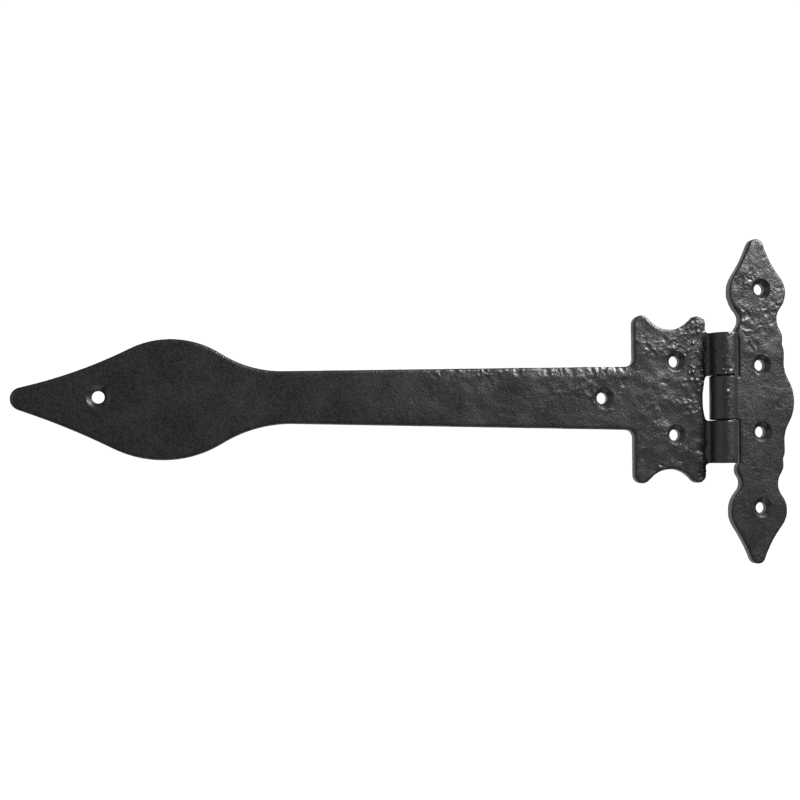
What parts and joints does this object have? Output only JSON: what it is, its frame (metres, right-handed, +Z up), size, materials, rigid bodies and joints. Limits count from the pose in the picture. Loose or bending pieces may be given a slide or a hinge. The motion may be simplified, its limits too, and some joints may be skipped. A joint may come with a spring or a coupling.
{
  "type": "tee hinge",
  "caption": "Cast iron tee hinge: a long spear-ended strap leaf with a star plate, a shaped upright frame leaf, and a pin through three knuckles.",
  "frame": {"origin": "on the flat back of the leaves, level with the pin and half way up it", "axes": "+Z up along the pin, +X from the spear towards the frame leaf, -Y out of the front face"},
  "size_m": [0.3051, 0.0112, 0.1314],
  "materials": {
    "iron": "black powder coat, satin",
    "pin": "blackened steel, satin"
  },
  "bodies": {
    "frame_leaf": {"frame_leaf": "iron"},
    "strap_leaf": {"strap_leaf": "iron", "hinge_pin": "pin"}
  },
  "joints": [
    {"name": "leaf_swing", "type": "hinge", "parent": "frame_leaf", "child": "strap_leaf", "pos_m": [0, -0.0057, 0], "axis": [0, 0, 1], "range_deg": [0, 180]}
  ]
}
